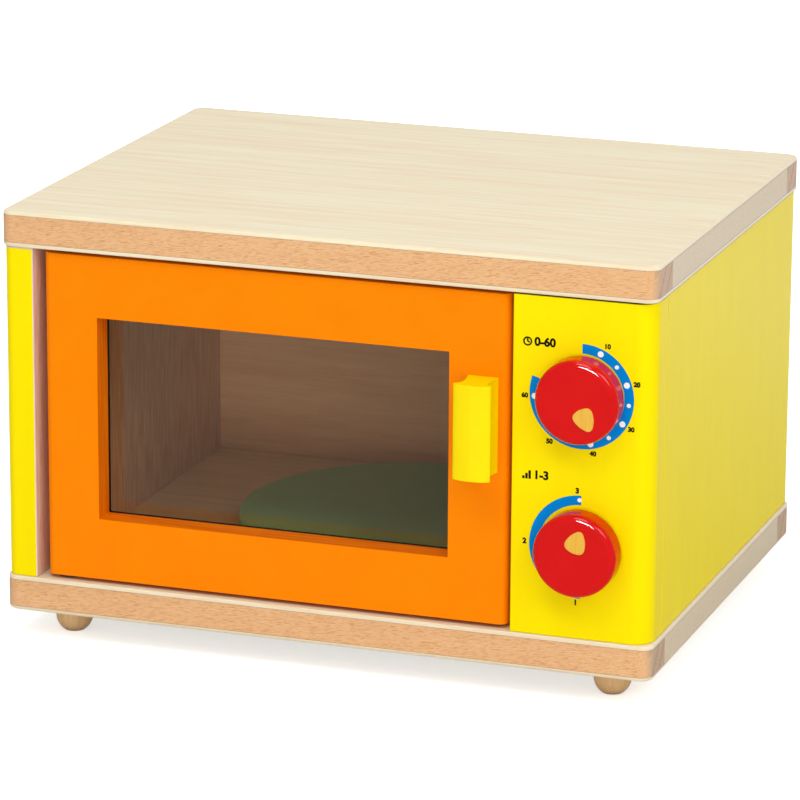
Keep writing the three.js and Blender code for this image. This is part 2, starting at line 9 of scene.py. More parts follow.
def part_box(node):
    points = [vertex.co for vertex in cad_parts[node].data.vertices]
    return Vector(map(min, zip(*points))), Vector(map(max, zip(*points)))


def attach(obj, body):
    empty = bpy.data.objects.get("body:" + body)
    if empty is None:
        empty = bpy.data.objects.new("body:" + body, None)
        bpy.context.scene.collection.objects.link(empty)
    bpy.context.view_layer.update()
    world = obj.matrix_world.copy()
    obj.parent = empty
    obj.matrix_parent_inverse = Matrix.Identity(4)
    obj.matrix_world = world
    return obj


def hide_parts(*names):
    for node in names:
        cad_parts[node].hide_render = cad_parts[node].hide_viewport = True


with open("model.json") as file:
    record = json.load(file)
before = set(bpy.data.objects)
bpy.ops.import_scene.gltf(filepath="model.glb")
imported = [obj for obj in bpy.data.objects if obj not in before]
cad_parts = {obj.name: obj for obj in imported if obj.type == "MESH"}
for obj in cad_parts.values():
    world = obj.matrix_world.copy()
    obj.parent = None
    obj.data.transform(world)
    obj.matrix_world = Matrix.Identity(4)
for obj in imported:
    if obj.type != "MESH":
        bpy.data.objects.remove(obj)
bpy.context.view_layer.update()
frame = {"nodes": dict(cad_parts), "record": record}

bpy.ops.object.select_all(action="DESELECT")


# Top and bottom boards: a pale core with a beech lipping along its front and rear edges,
# and a pale veneer glued over and under them. The outer corners and edges are rounded,
# and fine grooves show where the layers meet. All wood is sealed with a satin lacquer.
board_corner_radius = 0.0065
veneer_edge_radius = 0.002
under_edge_radius = 0.0008
glue_line = 0.00014
corner_turns = 10
edge_turns = 5
same_place = 1e-5
sharp_edge, smooth_below = math.radians(50), math.radians(40)


def start_block(name, low, high):
    """A planed block between two corners, left in edit mode."""
    bpy.ops.mesh.primitive_cube_add(size=1, location=(low + high) / 2, scale=high - low)
    piece = bpy.context.object
    piece.name = piece.data.name = name
    bpy.ops.object.transform_apply(location=True, rotation=True, scale=True)
    bpy.ops.object.mode_set(mode="EDIT")
    return piece


def pick_edges(piece, wanted):
    """Selects the edges for which wanted(middle, direction) is true."""
    bpy.ops.mesh.select_mode(type="EDGE")
    bpy.ops.mesh.select_all(action="DESELECT")
    form = bmesh.from_edit_mesh(piece.data)
    for edge in form.edges:
        start, end = (corner.co for corner in edge.verts)
        if wanted((start + end) / 2, (end - start).normalized()):
            edge.select_set(True)
    bmesh.update_edit_mesh(piece.data)


def round_edges(piece, wanted, radius, turns):
    """Rounds the chosen edges."""
    pick_edges(piece, wanted)
    bpy.ops.mesh.bevel(offset=radius, segments=turns, affect="EDGES")


def near(value, *places):
    """True if the value is at one of the places."""
    return any(abs(value - place) < same_place for place in places)


def is_along(way, axis):
    """True if a direction runs along an axis."""
    return abs(way[axis]) > 0.9


def is_across(way, axis):
    """True if a direction is square to an axis."""
    return abs(way[axis]) < 0.1


def finish_piece(piece, body, slot, material, *nodes, ease=0.0, ease_turns=1, seam=None):
    """Eases the edges that are still sharp, smooths the shading, hangs the piece on its body and
    hides the node it replaces.
    """
    if piece.mode == "EDIT":
        bpy.ops.object.mode_set(mode="OBJECT")
    piece.data.materials.clear()
    piece.data.materials.append(material)
    bpy.context.view_layer.objects.active = piece
    if seam:
        piece.data.materials.append(seam)
    if ease:
        bpy.ops.object.modifier_add(type="BEVEL")
        bevel = piece.modifiers[-1]
        bevel.width, bevel.segments = ease, ease_turns
        bevel.limit_method, bevel.angle_limit = "ANGLE", sharp_edge
        bevel.material = 1 if seam else -1
        bpy.ops.object.modifier_apply(modifier=bevel.name)
    bpy.ops.object.shade_smooth_by_angle(angle=smooth_below)
    bpy.ops.object.modifier_add(type="WEIGHTED_NORMAL")
    weighted = piece.modifiers[-1]
    weighted.keep_sharp, weighted.weight = True, 100
    bpy.ops.object.modifier_apply(modifier=weighted.name)
    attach(piece, body)
    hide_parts(*nodes)
    bpy.ops.object.select_all(action="DESELECT")


def tint(red, green, blue):
    """A colour written as it shows on a screen, from 0 to 255, as the shader takes it."""
    shares = (channel / 255 for channel in (red, green, blue))
    return (*(s / 12.92 if s <= 0.04045 else ((s + 0.055) / 1.055) ** 2.4 for s in shares), 1.0)


def add_node(tree, kind, feeds=(), **settings):
    """A shader node with its settings, its inputs fed by numbers or by other nodes' outputs."""
    made = tree.nodes.new("ShaderNode" + kind)
    for setting, value in settings.items():
        setattr(made, setting, value)
    for socket, value in dict(feeds).items():
        if isinstance(value, bpy.types.NodeSocket):
            tree.links.new(value, made.inputs[socket])
        else:
            made.inputs[socket].default_value = value
    return made


def mix(tree, share, first, second):
    """Two colours mixed."""
    return add_node(tree, "Mix", {0: share, 6: first, 7: second}, data_type="RGBA").outputs[2]


def between(tree, value, low, high, to_low=0.0, to_high=1.0):
    """A value stretched from one range to another, and held at its ends."""
    feeds = {"Value": value, "From Min": low, "From Max": high, "To Min": to_low, "To Max": to_high}
    return add_node(tree, "MapRange", feeds).outputs["Result"]


def calculate(tree, operation, first, second=0.0):
    """A sum, a product or another result of two values."""
    return add_node(tree, "Math", {0: first, 1: second}, operation=operation).outputs[0]


def mottle(tree, coords, size, detail=3.0, shift=(0.0, 0.0, 0.0), twist=0.0):
    """Noise whose spots have the given size in metres along each axis."""
    grid = add_node(tree, "Mapping", {
        "Vector": coords, "Location": shift, "Scale": tuple(1 / length for length in size)})
    return add_node(tree, "TexNoise", {
        "Vector": grid.outputs[0], "Scale": 1.0, "Detail": detail, "Roughness": 0.6,
        "Distortion": twist}).outputs["Fac"]


def spread(tree, noise, to_low=0.0, to_high=1.0):
    """The middle of a noise, where nearly all its values lie, stretched to a range."""
    return between(tree, noise, 0.3, 0.7, to_low, to_high)


def new_finish(name):
    """A material with its tree, its shader, and the Object coordinates."""
    material = bpy.data.materials.new(name)
    material.use_nodes = True
    tree = material.node_tree
    coords = add_node(tree, "TexCoord")
    return material, tree, tree.nodes["Principled BSDF"], coords


def bump(tree, shader, height, strength, distance=0.0002):
    """A fine relief on the surface."""
    made = add_node(tree, "Bump", {"Height": height, "Strength": strength, "Distance": distance})
    tree.links.new(made.outputs[0], shader.inputs["Normal"])


def along(axis, length, width):
    """The size of a mark that runs along one axis."""
    return tuple(length if place == axis else width for place in range(3))


across, inward, upright = 0, 1, 2
fibre_size, fibre_depth = (0.018, 0.0005), 0.16
blush_size, blush_shift, blush_strength = (0.07, 0.004), (0.0, 3.0, 5.0), 0.85
fleck_size, fleck_tilt, fleck_level = (0.0036, 0.00027), (0.0, 0.1, 0.0), 0.6
pore_size, ring_tilt, ring_depth = 0.0006, (0.6, 0.0, 0.0), 0.22
satin_low, satin_high = 0.36, 0.5
coat_roughness = 0.22


def wood(name, pale, dark, axis=across, streak=(0.16, 0.009), blush=None, fleck=None,
         fleck_share=0.0, end_pale=None, end_dark=None, end_lines=0.0, contrast=1.0, coat=0.1):
    """Sealed wood with its grain along one axis: streaks, fine fibres, flecks and end grain."""
    material, tree, shader, coords = new_finish(name)
    place = coords.outputs["Object"]
    streaks = mottle(tree, place, along(axis, *streak), 4.0, twist=0.4)
    fibres = mottle(tree, place, along(axis, *fibre_size))
    figure = calculate(tree, "ADD", streaks, spread(tree, fibres, -fibre_depth, fibre_depth))
    reach = 0.3 / contrast
    colour = mix(tree, between(tree, figure, 0.5 - reach, 0.5 + reach), dark, pale)
    if blush:
        rosy = mottle(tree, place, along(axis, *blush_size), 4.0, blush_shift, 0.6)
        colour = mix(tree, between(tree, rosy, 0.46, 0.7, 0.0, blush_strength), colour, blush)
    if fleck:
        tilted = add_node(tree, "Mapping", {"Vector": place, "Rotation": fleck_tilt}).outputs[0]
        start = fleck_level - fleck_share
        for offset, mark, strength in ((0.0, fleck, 0.95), (4.0, pale, 0.8)):
            marks = mottle(tree, tilted, along(axis, *fleck_size), 2.0, (offset,) * 3, 0.3)
            marks = between(tree, marks, start, start + 0.12, 0.0, strength)
            colour = mix(tree, marks, colour, mark)
    if end_pale:
        facing = add_node(tree, "SeparateXYZ", {0: coords.outputs["Normal"]}).outputs[axis]
        facing = calculate(tree, "ABSOLUTE", facing)
        pores = mottle(tree, place, (pore_size,) * 3)
        if end_lines:
            tilted = add_node(tree, "Mapping", {"Vector": place, "Rotation": ring_tilt})
            rings = add_node(tree, "TexWave", {
                "Vector": tilted.outputs[0], "Scale": math.tau / (20 * end_lines),
                "Distortion": 1.2, "Detail": 2.0, "Detail Scale": 0.4},
                bands_direction="YZX"[axis]).outputs["Fac"]
            rings = between(tree, rings, 0.0, 0.25, -ring_depth, 0.0)
            pores = calculate(tree, "ADD", pores, rings)
        end_grain = mix(tree, between(tree, pores, 0.25, 0.7), end_dark, end_pale)
        colour = mix(tree, between(tree, facing, 0.55, 0.95), colour, end_grain)
    tree.links.new(colour, shader.inputs["Base Color"])
    tree.links.new(spread(tree, fibres, satin_low, satin_high), shader.inputs["Roughness"])
    shader.inputs["Specular IOR Level"].default_value = 0.3
    shader.inputs["Coat Weight"].default_value = coat
    shader.inputs["Coat Roughness"].default_value = coat_roughness
    bump(tree, shader, fibres, 0.12)
    return material


veneer_wood = wood(
    "pale_veneer", tint(244, 234, 201), tint(233, 217, 180), contrast=1.15, streak=(0.2, 0.0045),
    blush=tint(238, 209, 174), end_pale=tint(250, 240, 216), end_dark=tint(240, 226, 200))
lipping_wood = wood(
    "beech_lipping", tint(239, 193, 141), tint(225, 171, 119), contrast=0.7,
    fleck=tint(206, 138, 82), fleck_share=0.085, end_pale=tint(222, 190, 160),
    end_dark=tint(186, 150, 122), end_lines=0.009)
core_board = wood("board_core", tint(226, 208, 180), tint(214, 192, 162),
                  end_pale=tint(238, 222, 196), end_dark=tint(214, 192, 162))
joint_wood = wood("glued_joint", tint(206, 168, 146), tint(186, 146, 124))

for board in ("bottom_board", "top_board"):
    for layer in ("core", "front_lipping", "rear_lipping", "lower_veneer", "upper_veneer"):
        node = f"{board}_{layer}"
        low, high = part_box(node)
        piece = start_block(f"{node}_wood", low, high)
        veneer, lipping = layer.endswith("veneer"), layer.endswith("lipping")
        outer_ends = (low.y, high.y) if veneer else (low.y if layer[0] == "f" else high.y,)
        if veneer or lipping:
            round_edges(piece, lambda at, way: is_along(way, upright) and near(at.y, *outer_ends),
                        board_corner_radius, corner_turns)
        if veneer:
            face = high.z if layer[0] == "u" else low.z
            outside = (layer[0] == "u") == (board[0] == "t")
            round_edges(piece, lambda at, way: near(at.z, face) and is_across(way, upright),
                        veneer_edge_radius if outside else under_edge_radius, edge_turns)
        slot = "pale_veneer" if veneer else "beech" if lipping else "core_wood"
        material = veneer_wood if veneer else lipping_wood if lipping else core_board
        finish_piece(piece, "box", slot, material, node, ease=glue_line, seam=joint_wood)


# Side panels and control panel: boards painted with a thick glossy yellow lacquer outside,
# and left as bare wood inside. They stand between the two boards on hidden dowels, and the
# control panel is thicker, with a wide round corner down its front.
panel_corner_radius = 0.005
control_corner_radius = 0.010
panel_ease, panel_ease_turns = 0.0007, 3
undercoat_width = 0.0005
edge_blur = 0.0001
joint_start, joint_end = 0.0011, 0.0008
cloud_size, ripple_size, bare_fibre_size = (0.07, 0.012), (0.02, 0.004), (0.022, 0.0009)
paint_roughness, bare_roughness = 0.14, 0.55
undercoat = tint(228, 200, 220)
yellow, yellow_deep = tint(254, 232, 0), tint(252, 228, 0)
bare_pale, bare_dark = tint(244, 212, 188), tint(212, 170, 142)


def past(tree, value, line, sign):
    """0 before a line and 1 beyond it."""
    return between(tree, value, line - sign * edge_blur, line + sign * edge_blur)


def half_painted(name, bare_axis, bare_sign, bare_face, top, joint_line_and_shade_colour):
    """Lacquer over wood with one bare face; undercoat shows between, and a thin band at the top
    takes the given joint colour, which on the control and right panels is painted shade under the
    board's edge.
    """
    material, tree, shader, coords = new_finish(name)
    place = coords.outputs["Object"]
    clouds = mottle(tree, place, along(upright, *cloud_size), 4.0)
    paint = mix(tree, spread(tree, clouds), yellow_deep, yellow)
    fibres = mottle(tree, place, along(upright, *bare_fibre_size), 4.0)
    bare = mix(tree, between(tree, fibres, 0.32, 0.68), bare_dark, bare_pale)
    reach = add_node(tree, "SeparateXYZ", {0: place}).outputs
    primed = past(tree, reach[bare_axis], bare_face - bare_sign * undercoat_width, bare_sign)
    beyond = past(tree, reach[bare_axis], bare_face - bare_sign * edge_blur, bare_sign)
    colour = mix(tree, beyond, mix(tree, primed, paint, undercoat), bare)
    # a thin band at the top of the panel takes the joint colour: painted shade under the top
    # board's edge, except on the left panel
    joint = between(tree, reach[upright], top - joint_start, top - joint_end)
    tree.links.new(mix(tree, joint, colour, joint_line_and_shade_colour), shader.inputs["Base Color"])
    tree.links.new(between(tree, beyond, 0.0, 1.0, paint_roughness, bare_roughness),
                   shader.inputs["Roughness"])
    shader.inputs["Specular IOR Level"].default_value = 0.07
    ripple = mottle(tree, place, along(upright, *ripple_size), 2.0)
    bump(tree, shader, ripple, 0.06)
    return material


# The last colour of each panel fills a thin band at its top. On the control panel it is a dark
# brown and on the right panel an olive, both painted shade for the shadow under the top board's
# edge. On the left panel it is a pale lilac-grey line.
panel_nodes = {
    "left_side_panel": (0, 1, "left_panel_yellow", tint(226, 212, 190)),
    "right_side_panel": (0, -1, "right_panel_yellow", tint(150, 132, 48)),
    "control_panel": (1, 1, "control_panel_yellow", tint(70, 58, 30)),
}
for node, (bare_axis, bare_sign, finish, joint_line_and_shade_colour) in panel_nodes.items():
    low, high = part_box(node)
    piece = start_block(f"{node}_board", low, high)
    corners = {"left_side_panel": ((low.x, low.y), (low.x, high.y)),
               "right_side_panel": ((high.x, high.y),),
               "control_panel": ((high.x, low.y),)}[node]
    radius = control_corner_radius if node == "control_panel" else panel_corner_radius
    round_edges(piece, lambda at, way: is_along(way, upright) and any(
        near(at.x, x) and near(at.y, y) for x, y in corners), radius, corner_turns)
    inner = (high if bare_sign > 0 else low)[bare_axis]
    material = half_painted(finish, bare_axis, bare_sign, inner, high.z, joint_line_and_shade_colour)
    finish_piece(piece, "box", "yellow_lacquer", material, node,
                 ease=panel_ease, ease_turns=panel_ease_turns)


# Back panel: a bare board between the side panels, its grain running across, with
# slightly eased edges.
back_ease, soft_turns = 0.0004, 2
low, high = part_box("back_panel")
piece = start_block("back_panel_board", low, high)
back_wood = wood("bare_back", tint(248, 215, 184), tint(228, 191, 158), coat=0.0)
finish_piece(piece, "box", "bare_board", back_wood, "back_panel",
             ease=back_ease, ease_turns=soft_turns)


# Feet: short turned beech feet with a round dome, each glued by its spigot into the
# bottom board. One is turned, and the others are copies of it.
foot_radius = 0.0095
foot_spigot_radius = 0.004
foot_pad_radius = 0.0052
foot_height = 0.0155
foot_neck_height = 0.0075
foot_turns = 40
thin_ease = 0.0003
foot_wood = wood("foot_wood", tint(246, 204, 150), tint(222, 178, 124), upright, (0.03, 0.003),
                 end_pale=tint(206, 164, 116), end_dark=tint(170, 128, 88))


def start_disc(name, radius, centre, turns, rotation=(0.0, 0.0, 0.0)):
    """A flat round blank, left in edit mode with its face selected."""
    bpy.ops.mesh.primitive_circle_add(vertices=turns, radius=radius, fill_type="NGON",
                                      location=centre, rotation=rotation)
    piece = bpy.context.object
    piece.name = piece.data.name = name
    bpy.ops.object.transform_apply(location=True, rotation=True, scale=True)
    bpy.ops.object.mode_set(mode="EDIT")
    bpy.ops.mesh.select_all(action="SELECT")
    return piece


def raise_face(step, share=1.0):
    """The selected face is pulled out by a step, and made narrower or wider."""
    bpy.ops.mesh.extrude_region_move(TRANSFORM_OT_translate={"value": step})
    if share != 1.0:
        bpy.ops.transform.resize(value=(share,) * 3)


def close_blank(piece):
    """The normals of a finished solid are turned outwards."""
    bpy.ops.mesh.select_all(action="SELECT")
    bpy.ops.mesh.normals_make_consistent(inside=False)


low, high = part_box("front_left_foot")
centre = (low + high) / 2
neck_bottom = low.z + foot_height - foot_neck_height
first_foot = start_disc("front_left_foot_turned", foot_spigot_radius,
                        Vector((centre.x, centre.y, high.z)), foot_turns)
raise_face((0, 0, foot_height - high.z))
raise_face((0, 0, 0), foot_radius / foot_spigot_radius)
raise_face((0, 0, -foot_neck_height))
dome_steps = 8
dome_start = math.acos(foot_pad_radius / foot_radius)
radius, depth = foot_radius, 0.0
for step in range(1, dome_steps + 1):
    angle = dome_start * step / dome_steps
    new_radius = foot_radius * math.cos(angle)
    new_depth = neck_bottom * math.sin(angle) / math.sin(dome_start)
    raise_face((0, 0, depth - new_depth), new_radius / radius)
    radius, depth = new_radius, new_depth
close_blank(first_foot)
bpy.ops.object.mode_set(mode="OBJECT")
feet = [first_foot]
for node in ("front_right_foot", "rear_left_foot", "rear_right_foot"):
    foot = first_foot.copy()
    foot.data = first_foot.data.copy()
    foot.name = foot.data.name = f"{node}_turned"
    bpy.context.collection.objects.link(foot)
    foot.data.transform(Matrix.Translation(sum(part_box(node), Vector()) / 2 - centre))
    feet.append(foot)
for foot in feet:
    foot.select_set(True)
    bpy.context.view_layer.objects.active = foot
    finish_piece(foot, "box", "foot_wood", foot_wood, foot.name.removesuffix("_turned"),
                 ease=thin_ease, ease_turns=soft_turns)


# Door: a flat board with a rectangular window sawn out, its left and right edges rounded, and
# sprayed with thick orange lacquer, through which the saw marks of the window show. A rabbet
# behind the window takes the pane. A dark band of painted shade on the reveals round the pane
# stands for the shadow in the gap there.
door_side_radius = 0.004
window_corner_radius, window_corner_turns = 0.0006, 4
pane_shade_width = 0.0028
saw_mark_size = (0.05, 0.0011, 0.05)
spray_cloud, orange_peel = 0.03, 0.0035
door_low, door_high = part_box("door_frame")
pane_low, pane_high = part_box("door_window_pane")
pane_fit = 0.0002
pane_lap = 0.007
door = start_block("door_leaf", door_low, door_high)
rabbet_left, rabbet_right = pane_low.x - pane_fit, pane_high.x + pane_fit
rabbet_bottom, rabbet_top = pane_low.z - pane_fit, pane_high.z + pane_fit
window_left, window_right = rabbet_left + pane_lap, rabbet_right - pane_lap
window_bottom, window_top = rabbet_bottom + pane_lap, rabbet_top - pane_lap
for cut in (rabbet_left, window_left, window_right, rabbet_right):
    bpy.ops.mesh.select_all(action="SELECT")
    bpy.ops.mesh.bisect(plane_co=(cut, 0, 0), plane_no=(1, 0, 0))
for cut in (rabbet_bottom, window_bottom, window_top, rabbet_top):
    bpy.ops.mesh.select_all(action="SELECT")
    bpy.ops.mesh.bisect(plane_co=(0, 0, cut), plane_no=(0, 0, 1))


def pick_faces(piece, wanted):
    """Selects the faces for which wanted(middle, normal) is true."""
    bpy.ops.mesh.select_mode(type="FACE")
    bpy.ops.mesh.select_all(action="DESELECT")
    form = bmesh.from_edit_mesh(piece.data)
    for face in form.faces:
        if wanted(face.calc_center_median(), face.normal):
            face.select_set(True)
    bmesh.update_edit_mesh(piece.data)


def within(at, left, right, bottom, top):
    """True if a point lies in an upright rectangle."""
    return left < at.x < right and bottom < at.z < top


pick_faces(door, lambda at, way: way.y > 0.9 and within(
    at, rabbet_left, rabbet_right, rabbet_bottom, rabbet_top))
bpy.ops.mesh.extrude_region_move(
    TRANSFORM_OT_translate={"value": (0, pane_low.y - door_high.y, 0)})
pick_faces(door, lambda at, way: is_along(way, inward) and within(
    at, window_left, window_right, window_bottom, window_top))
bpy.ops.mesh.bridge_edge_loops()
round_edges(door, lambda at, way: is_along(way, inward) and near(at.x, window_left, window_right)
            and near(at.z, window_bottom, window_top), window_corner_radius, window_corner_turns)
round_edges(door, lambda at, way: is_along(way, upright) and near(at.x, door_low.x, door_high.x)
            and near(at.y, door_low.y), door_side_radius, corner_turns)


def lacquer(name, main, deep, rough=0.16, shine=0.25):
    """A sprayed gloss lacquer: very faint clouds of colour and a slight orange-peel relief."""
    material, tree, shader, coords = new_finish(name)
    place = coords.outputs["Object"]
    clouds = mottle(tree, place, (spray_cloud,) * 3)
    tree.links.new(mix(tree, spread(tree, clouds), deep, main), shader.inputs["Base Color"])
    tree.links.new(spread(tree, clouds, rough * 0.9, rough * 1.15), shader.inputs["Roughness"])
    shader.inputs["Specular IOR Level"].default_value = shine
    bump(tree, shader, mottle(tree, place, (orange_peel,) * 3, 2.0), 0.05)
    return material


def in_band(tree, value, low, high):
    """1 between two places, and 0 beyond them."""
    rise = between(tree, value, low - edge_blur, low)
    fall = between(tree, value, high, high + edge_blur, 1.0, 0.0)
    return calculate(tree, "MULTIPLY", rise, fall)


orange = lacquer("orange_lacquer", tint(255, 138, 0), tint(254, 133, 0), shine=0.06)
tree = orange.node_tree
paint = tree.nodes["Principled BSDF"].inputs["Base Color"]
place = add_node(tree, "TexCoord").outputs["Object"]
reach = add_node(tree, "SeparateXYZ", {0: place}).outputs
inside = calculate(
    tree, "MULTIPLY",
    in_band(tree, reach[across], window_left - edge_blur, window_right + edge_blur),
    in_band(tree, reach[upright], window_bottom - edge_blur, window_top + edge_blur))
saw_marks = mottle(tree, place, saw_mark_size, 2.0)
worn = calculate(tree, "MULTIPLY", inside, between(tree, saw_marks, 0.35, 0.65, 0.1, 0.55))
sawn = mix(tree, worn, paint.links[0].from_socket, tint(204, 60, 0))
# a dark band on the reveals next to the pane is painted shade, for the shadow in the gap round the
# pane
seam = in_band(tree, reach[inward], pane_low.y - pane_shade_width, pane_low.y - edge_blur)
seam = calculate(tree, "MULTIPLY", inside, seam)
tree.links.new(mix(tree, seam, sawn, tint(36, 16, 8)), paint)
finish_piece(door, "door", "orange_lacquer", orange, "door_frame",
             ease=thin_ease, ease_turns=soft_turns)


# Window pane: a sheet of brown smoked acrylic with polished edges, held in the rabbet by
# four small screws at its corners.
pane = start_block("door_pane", pane_low, pane_high)
material, tree, shader, coords = new_finish("smoked_acrylic")
smoke = mottle(tree, coords.outputs["Object"], (0.12,) * 3, 2.0)
tree.links.new(mix(tree, spread(tree, smoke), tint(226, 214, 198), tint(230, 218, 202)),
               shader.inputs["Base Color"])
shader.inputs["Roughness"].default_value = 0.0
shader.inputs["Transmission Weight"].default_value = 1.0
shader.inputs["IOR"].default_value = 1.49
clear = add_node(tree, "BsdfTransparent", {"Color": tint(253, 249, 244)})
lamp_rays = add_node(tree, "LightPath")
through = add_node(tree, "MixShader", {
    0: lamp_rays.outputs["Is Shadow Ray"], 1: shader.outputs[0], 2: clear.outputs[0]})
tree.links.new(through.outputs[0], tree.nodes["Material Output"].inputs["Surface"])
finish_piece(pane, "door", "tinted_acrylic", material, "door_window_pane",
             ease=thin_ease, ease_turns=soft_turns)


# Handle: a yellow bar screwed on from behind, sawn to a waist in plan so that fingers grip
# it, with a slightly domed front and softened ends.
handle_low, handle_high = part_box("door_handle")
handle_width = handle_high.x - handle_low.x
handle_middle = (handle_low.x + handle_high.x) / 2
handle_depth = handle_high.y - handle_low.y
handle_base, handle_waist = 0.0157, 0.0126
waist_depth, shoulder_depth = handle_depth - 0.009, handle_depth - 0.0031
first_slice = 0.0004
curve_steps = 6
front_dome = ((0.985, 0.12), (0.95, 0.27), (0.86, 0.44), (0.7, 0.63), (0.5, 0.81), (0.25, 0.95),
              (0.02, 1.0))
handle_ease, handle_ease_turns = 0.0012, 3


def curve(first, control, last, share):
    """A point on a curve that leaves first and reaches last, both aimed at control."""
    return first * (1 - share) ** 2 + 2 * control * share * (1 - share) + last * share ** 2


sections = []
for start, end, wide_start, wide_end in ((0, waist_depth, handle_base, handle_waist),
                                         (waist_depth, shoulder_depth, handle_waist, handle_width)):
    for step in range(1, curve_steps + 1):
        share = step / curve_steps
        sections.append((curve(start, (start + end) / 2, end, share),
                         curve(wide_start, handle_waist, wide_end, share)))
for width_share, rise_share in front_dome:
    sections.append((shoulder_depth + (handle_depth - shoulder_depth) * rise_share,
                     handle_width * width_share))
handle = start_block(
    "handle_bar",
    Vector((handle_middle - handle_base / 2, handle_high.y - first_slice, handle_low.z)),
    Vector((handle_middle + handle_base / 2, handle_high.y, handle_high.z)))
pick_faces(handle, lambda at, way: way.y < -0.9)
width, depth = handle_base, first_slice
for new_depth, new_width in sections:
    bpy.ops.mesh.extrude_region_move(TRANSFORM_OT_translate={"value": (0, depth - new_depth, 0)})
    bpy.ops.transform.resize(value=(new_width / width, 1, 1))
    width, depth = new_width, new_depth
handle_yellow = lacquer("handle_yellow", tint(255, 230, 0), tint(250, 222, 0),
                        rough=0.25, shine=0.1)
finish_piece(handle, "door", "yellow_lacquer", handle_yellow, "door_handle",
             ease=handle_ease, ease_turns=handle_ease_turns)


# Knobs: turned wooden discs, sprayed a glossy red, with a well-rounded face. A pocket in
# each face holds the pointer, and a felt washer behind gives some friction.
knob_face_radius, knob_face_turns = 0.0034, 12
knob_back_radius, knob_back_turns = 0.0008, 2
round_turns = 96
red = lacquer("knob_red", tint(217, 6, 4), tint(208, 4, 2), rough=0.05, shine=0.38)
knob_pieces = {}
for dial in ("timer", "power"):
    low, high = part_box(f"{dial}_knob")
    centre = (low + high) / 2
    centre.y = high.y
    knob = start_disc(f"{dial}_knob_turned", (high.x - low.x) / 2, centre, round_turns,
                      (math.pi / 2, 0, 0))
    raise_face((0, low.y - high.y, 0))
    close_blank(knob)
    round_edges(knob, lambda at, way: near(at.y, low.y) and is_across(way, inward),
                knob_face_radius, knob_face_turns)
    round_edges(knob, lambda at, way: near(at.y, high.y) and is_across(way, inward),
                knob_back_radius, knob_back_turns)
    knob_pieces[dial] = knob
    finish_piece(knob, f"{dial}_knob", "red_lacquer", red, f"{dial}_knob")


# Pointers: small rounded triangles of light varnished wood, glued into a pocket in each
# knob's face so that they stand a little proud.
pointer_edge_radius, pointer_edge_turns = 0.0004, 3
pointer_wood = wood("pointer_wood", tint(242, 190, 70), tint(228, 170, 52), upright,
                    (0.012, 0.002), coat=0.3)
for dial in ("timer", "power"):
    node = frame["nodes"][f"{dial}_knob_pointer"]
    pointer = node.copy()
    pointer.data = node.data.copy()
    pointer.name = pointer.data.name = f"{dial}_knob_pointer_wood"
    bpy.context.collection.objects.link(pointer)
    bpy.context.view_layer.objects.active = pointer
    pointer.select_set(True)
    bpy.ops.object.mode_set(mode="EDIT")
    bpy.ops.mesh.select_all(action="SELECT")
    bpy.ops.mesh.remove_doubles(threshold=same_place)
    bpy.ops.mesh.dissolve_limited(angle_limit=math.radians(1))
    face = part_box(f"{dial}_knob_pointer")[0].y
    round_edges(pointer, lambda at, way: near(at.y, face) and is_across(way, inward),
                pointer_edge_radius, pointer_edge_turns)
    finish_piece(pointer, f"{dial}_knob", "pointer_wood", pointer_wood, f"{dial}_knob_pointer")


# Turntable: a turned wooden disc, painted green, that spins on a steel pin in the floor. The
# pin ends inside it.
rim_radius = 0.002
low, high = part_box("turntable_disc")
centre = (low + high) / 2
disc = start_disc("turntable_plate", (high.x - low.x) / 2, Vector((centre.x, centre.y, low.z)),
                  round_turns)
raise_face((0, 0, high.z - low.z))
close_blank(disc)
round_edges(disc, lambda at, way: is_across(way, upright), rim_radius, edge_turns)
green = lacquer("turntable_green", tint(150, 214, 156), tint(142, 204, 148), rough=0.4)
finish_piece(disc, "turntable", "green_lacquer", green, "turntable_disc")


# Small hidden parts: dowels, pins and washers keep the shapes they have, in beech, steel,
# nickel, felt and nylon.
def metal(name, colour, rough):
    """Plated metal with a fine brushed variation."""
    material, tree, shader, coords = new_finish(name)
    marks = mottle(tree, coords.outputs["Object"], (0.0008,) * 3, 2.0)
    tree.links.new(spread(tree, marks, rough * 0.8, rough * 1.2), shader.inputs["Roughness"])
    shader.inputs["Base Color"].default_value = colour
    shader.inputs["Metallic"].default_value = 1.0
    return material


def soft_stuff(name, pale, dark, grain):
    """A dull fibrous or moulded stuff."""
    material, tree, shader, coords = new_finish(name)
    spots = mottle(tree, coords.outputs["Object"], (grain,) * 3)
    tree.links.new(mix(tree, spread(tree, spots), dark, pale), shader.inputs["Base Color"])
    shader.inputs["Roughness"].default_value = 0.8
    bump(tree, shader, spots, 0.3)
    return material


hidden_finishes = {
    "dowel": wood("dowel_beech", tint(236, 200, 160), tint(214, 170, 126), upright, coat=0.0),
    "pin": metal("pin_steel", tint(190, 190, 195), 0.25),
    "hinge_washer": metal("washer_steel", tint(120, 120, 124), 0.5),
    "screw_washer": metal("washer_zinc", tint(200, 200, 204), 0.35),
    "friction_washer": soft_stuff("felt", tint(120, 30, 30), tint(90, 20, 20), 0.0006),
    "spacer": soft_stuff("grey_nylon", tint(170, 172, 174), tint(160, 162, 164), 0.002),
    "magnet": metal("nickel_plated", tint(210, 208, 200), 0.2),
    "stop_strip": wood("stop_beech", tint(222, 186, 148), tint(198, 156, 118), upright, coat=0.0),
}
for ending, material in hidden_finishes.items():
    for name, node in frame["nodes"].items():
        if name.endswith(ending):
            node.data.materials.clear()
            node.data.materials.append(material)


